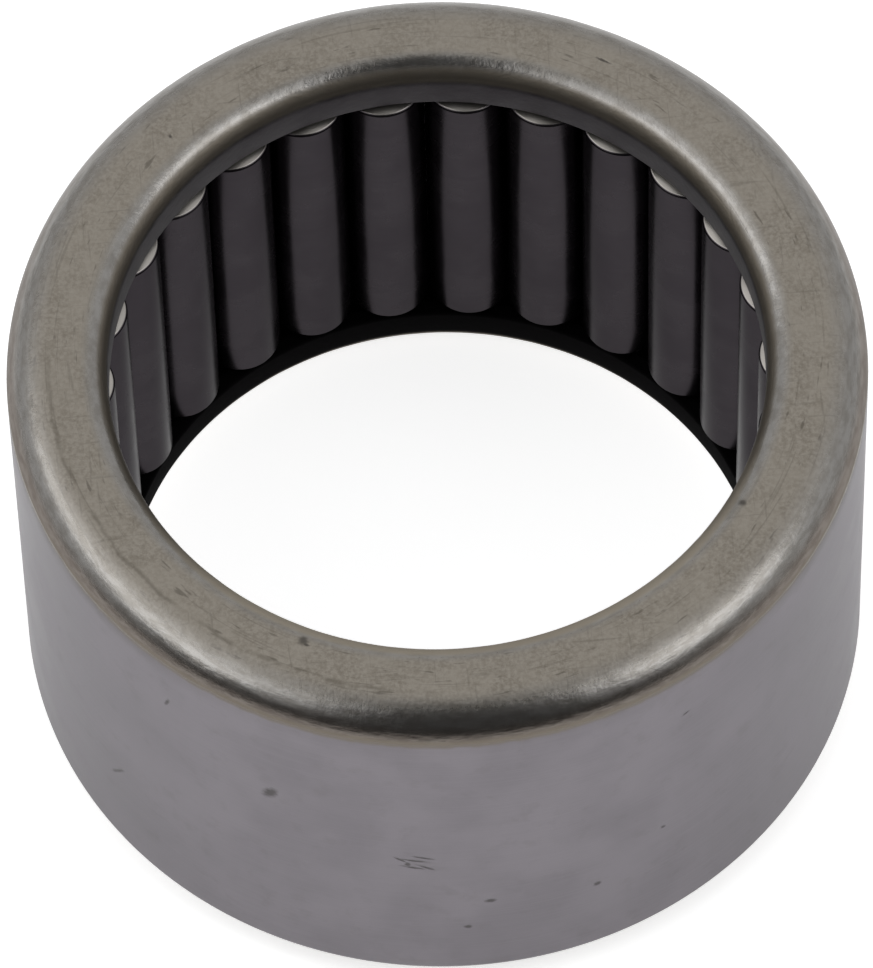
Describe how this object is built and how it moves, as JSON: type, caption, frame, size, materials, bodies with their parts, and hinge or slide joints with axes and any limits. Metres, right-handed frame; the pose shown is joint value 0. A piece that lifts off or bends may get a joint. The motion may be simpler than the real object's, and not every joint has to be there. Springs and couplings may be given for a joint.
{
  "type": "needle roller bearing",
  "caption": "Full-complement drawn-cup needle roller bearing: a thin steel cup with curled-in lips that hold a closed ring of trunnion-ended rollers, on which a shaft runs.",
  "frame": {"origin": "middle of the bearing, on its axis", "axes": "+Z along the bearing's axis, out of the drawn end, the one that faces up in the picture; +X through the first roller"},
  "size_m": [0.0254, 0.0254, 0.0158],
  "materials": {
    "cup_steel": "ground outside diameter, tumbled matt ends with a warm grey tint",
    "roller_steel": "fine-ground bearing steel, slightly dark"
  },
  "bodies": {
    "drawn_cup": {"drawn_cup": "cup_steel"},
    "needle_roller_01": {"needle_roller_01": "roller_steel"},
    "needle_roller_02": {"needle_roller_02": "roller_steel"},
    "needle_roller_03": {"needle_roller_03": "roller_steel"},
    "needle_roller_04": {"needle_roller_04": "roller_steel"},
    "needle_roller_05": {"needle_roller_05": "roller_steel"},
    "needle_roller_06": {"needle_roller_06": "roller_steel"},
    "needle_roller_07": {"needle_roller_07": "roller_steel"},
    "needle_roller_08": {"needle_roller_08": "roller_steel"},
    "needle_roller_09": {"needle_roller_09": "roller_steel"},
    "needle_roller_10": {"needle_roller_10": "roller_steel"},
    "needle_roller_11": {"needle_roller_11": "roller_steel"},
    "needle_roller_12": {"needle_roller_12": "roller_steel"},
    "needle_roller_13": {"needle_roller_13": "roller_steel"},
    "needle_roller_14": {"needle_roller_14": "roller_steel"},
    "needle_roller_15": {"needle_roller_15": "roller_steel"},
    "needle_roller_16": {"needle_roller_16": "roller_steel"},
    "needle_roller_17": {"needle_roller_17": "roller_steel"},
    "needle_roller_18": {"needle_roller_18": "roller_steel"},
    "needle_roller_19": {"needle_roller_19": "roller_steel"},
    "needle_roller_20": {"needle_roller_20": "roller_steel"},
    "needle_roller_21": {"needle_roller_21": "roller_steel"},
    "needle_roller_22": {"needle_roller_22": "roller_steel"},
    "needle_roller_23": {"needle_roller_23": "roller_steel"},
    "needle_roller_24": {"needle_roller_24": "roller_steel"},
    "needle_roller_25": {"needle_roller_25": "roller_steel"},
    "needle_roller_26": {"needle_roller_26": "roller_steel"},
    "needle_roller_27": {"needle_roller_27": "roller_steel"}
  },
  "joints": [
    {"name": "complement_orbit", "type": "hinge", "parent": "drawn_cup", "child": "needle_roller_01", "pos_m": [0, 0, 0], "axis": [0, 0, 1], "continuous": true},
    {"name": "roller_02_spin", "type": "hinge", "parent": "needle_roller_01", "child": "needle_roller_02", "pos_m": [0.0105, 0.00249, 0], "axis": [0, 0, 1], "continuous": true},
    {"name": "roller_03_spin", "type": "hinge", "parent": "needle_roller_01", "child": "needle_roller_03", "pos_m": [0.00965, 0.00484, 0], "axis": [0, 0, 1], "continuous": true},
    {"name": "roller_04_spin", "type": "hinge", "parent": "needle_roller_01", "child": "needle_roller_04", "pos_m": [0.00827, 0.00694, 0], "axis": [0, 0, 1], "continuous": true},
    {"name": "roller_05_spin", "type": "hinge", "parent": "needle_roller_01", "child": "needle_roller_05", "pos_m": [0.00645, 0.00866, 0], "axis": [0, 0, 1], "continuous": true},
    {"name": "roller_06_spin", "type": "hinge", "parent": "needle_roller_01", "child": "needle_roller_06", "pos_m": [0.00428, 0.00991, 0], "axis": [0, 0, 1], "continuous": true},
    {"name": "roller_07_spin", "type": "hinge", "parent": "needle_roller_01", "child": "needle_roller_07", "pos_m": [0.00187, 0.01063, 0], "axis": [0, 0, 1], "continuous": true},
    {"name": "roller_08_spin", "type": "hinge", "parent": "needle_roller_01", "child": "needle_roller_08", "pos_m": [-0.00063, 0.01078, 0], "axis": [0, 0, 1], "continuous": true},
    {"name": "roller_09_spin", "type": "hinge", "parent": "needle_roller_01", "child": "needle_roller_09", "pos_m": [-0.0031, 0.01034, 0], "axis": [0, 0, 1], "continuous": true},
    {"name": "roller_10_spin", "type": "hinge", "parent": "needle_roller_01", "child": "needle_roller_10", "pos_m": [-0.0054, 0.00935, 0], "axis": [0, 0, 1], "continuous": true},
    {"name": "roller_11_spin", "type": "hinge", "parent": "needle_roller_01", "child": "needle_roller_11", "pos_m": [-0.00741, 0.00785, 0], "axis": [0, 0, 1], "continuous": true},
    {"name": "roller_12_spin", "type": "hinge", "parent": "needle_roller_01", "child": "needle_roller_12", "pos_m": [-0.00902, 0.00593, 0], "axis": [0, 0, 1], "continuous": true},
    {"name": "roller_13_spin", "type": "hinge", "parent": "needle_roller_01", "child": "needle_roller_13", "pos_m": [-0.01014, 0.00369, 0], "axis": [0, 0, 1], "continuous": true},
    {"name": "roller_14_spin", "type": "hinge", "parent": "needle_roller_01", "child": "needle_roller_14", "pos_m": [-0.01072, 0.00125, 0], "axis": [0, 0, 1], "continuous": true},
    {"name": "roller_15_spin", "type": "hinge", "parent": "needle_roller_01", "child": "needle_roller_15", "pos_m": [-0.01072, -0.00125, 0], "axis": [0, 0, 1], "continuous": true},
    {"name": "roller_16_spin", "type": "hinge", "parent": "needle_roller_01", "child": "needle_roller_16", "pos_m": [-0.01014, -0.00369, 0], "axis": [0, 0, 1], "continuous": true},
    {"name": "roller_17_spin", "type": "hinge", "parent": "needle_roller_01", "child": "needle_roller_17", "pos_m": [-0.00902, -0.00593, 0], "axis": [0, 0, 1], "continuous": true},
    {"name": "roller_18_spin", "type": "hinge", "parent": "needle_roller_01", "child": "needle_roller_18", "pos_m": [-0.00741, -0.00785, 0], "axis": [0, 0, 1], "continuous": true},
    {"name": "roller_19_spin", "type": "hinge", "parent": "needle_roller_01", "child": "needle_roller_19", "pos_m": [-0.0054, -0.00935, 0], "axis": [0, 0, 1], "continuous": true},
    {"name": "roller_20_spin", "type": "hinge", "parent": "needle_roller_01", "child": "needle_roller_20", "pos_m": [-0.0031, -0.01034, 0], "axis": [0, 0, 1], "continuous": true},
    {"name": "roller_21_spin", "type": "hinge", "parent": "needle_roller_01", "child": "needle_roller_21", "pos_m": [-0.00063, -0.01078, 0], "axis": [0, 0, 1], "continuous": true},
    {"name": "roller_22_spin", "type": "hinge", "parent": "needle_roller_01", "child": "needle_roller_22", "pos_m": [0.00187, -0.01063, 0], "axis": [0, 0, 1], "continuous": true},
    {"name": "roller_23_spin", "type": "hinge", "parent": "needle_roller_01", "child": "needle_roller_23", "pos_m": [0.00428, -0.00991, 0], "axis": [0, 0, 1], "continuous": true},
    {"name": "roller_24_spin", "type": "hinge", "parent": "needle_roller_01", "child": "needle_roller_24", "pos_m": [0.00645, -0.00866, 0], "axis": [0, 0, 1], "continuous": true},
    {"name": "roller_25_spin", "type": "hinge", "parent": "needle_roller_01", "child": "needle_roller_25", "pos_m": [0.00827, -0.00694, 0], "axis": [0, 0, 1], "continuous": true},
    {"name": "roller_26_spin", "type": "hinge", "parent": "needle_roller_01", "child": "needle_roller_26", "pos_m": [0.00965, -0.00484, 0], "axis": [0, 0, 1], "continuous": true},
    {"name": "roller_27_spin", "type": "hinge", "parent": "needle_roller_01", "child": "needle_roller_27", "pos_m": [0.0105, -0.00249, 0], "axis": [0, 0, 1], "continuous": true}
  ],
  "couplings": [
    {"joint": "roller_02_spin", "follows": "complement_orbit", "ratio": -9.6456},
    {"joint": "roller_03_spin", "follows": "complement_orbit", "ratio": -9.6456},
    {"joint": "roller_04_spin", "follows": "complement_orbit", "ratio": -9.6456},
    {"joint": "roller_05_spin", "follows": "complement_orbit", "ratio": -9.6456},
    {"joint": "roller_06_spin", "follows": "complement_orbit", "ratio": -9.6456},
    {"joint": "roller_07_spin", "follows": "complement_orbit", "ratio": -9.6456},
    {"joint": "roller_08_spin", "follows": "complement_orbit", "ratio": -9.6456},
    {"joint": "roller_09_spin", "follows": "complement_orbit", "ratio": -9.6456},
    {"joint": "roller_10_spin", "follows": "complement_orbit", "ratio": -9.6456},
    {"joint": "roller_11_spin", "follows": "complement_orbit", "ratio": -9.6456},
    {"joint": "roller_12_spin", "follows": "complement_orbit", "ratio": -9.6456},
    {"joint": "roller_13_spin", "follows": "complement_orbit", "ratio": -9.6456},
    {"joint": "roller_14_spin", "follows": "complement_orbit", "ratio": -9.6456},
    {"joint": "roller_15_spin", "follows": "complement_orbit", "ratio": -9.6456},
    {"joint": "roller_16_spin", "follows": "complement_orbit", "ratio": -9.6456},
    {"joint": "roller_17_spin", "follows": "complement_orbit", "ratio": -9.6456},
    {"joint": "roller_18_spin", "follows": "complement_orbit", "ratio": -9.6456},
    {"joint": "roller_19_spin", "follows": "complement_orbit", "ratio": -9.6456},
    {"joint": "roller_20_spin", "follows": "complement_orbit", "ratio": -9.6456},
    {"joint": "roller_21_spin", "follows": "complement_orbit", "ratio": -9.6456},
    {"joint": "roller_22_spin", "follows": "complement_orbit", "ratio": -9.6456},
    {"joint": "roller_23_spin", "follows": "complement_orbit", "ratio": -9.6456},
    {"joint": "roller_24_spin", "follows": "complement_orbit", "ratio": -9.6456},
    {"joint": "roller_25_spin", "follows": "complement_orbit", "ratio": -9.6456},
    {"joint": "roller_26_spin", "follows": "complement_orbit", "ratio": -9.6456},
    {"joint": "roller_27_spin", "follows": "complement_orbit", "ratio": -9.6456}
  ]
}
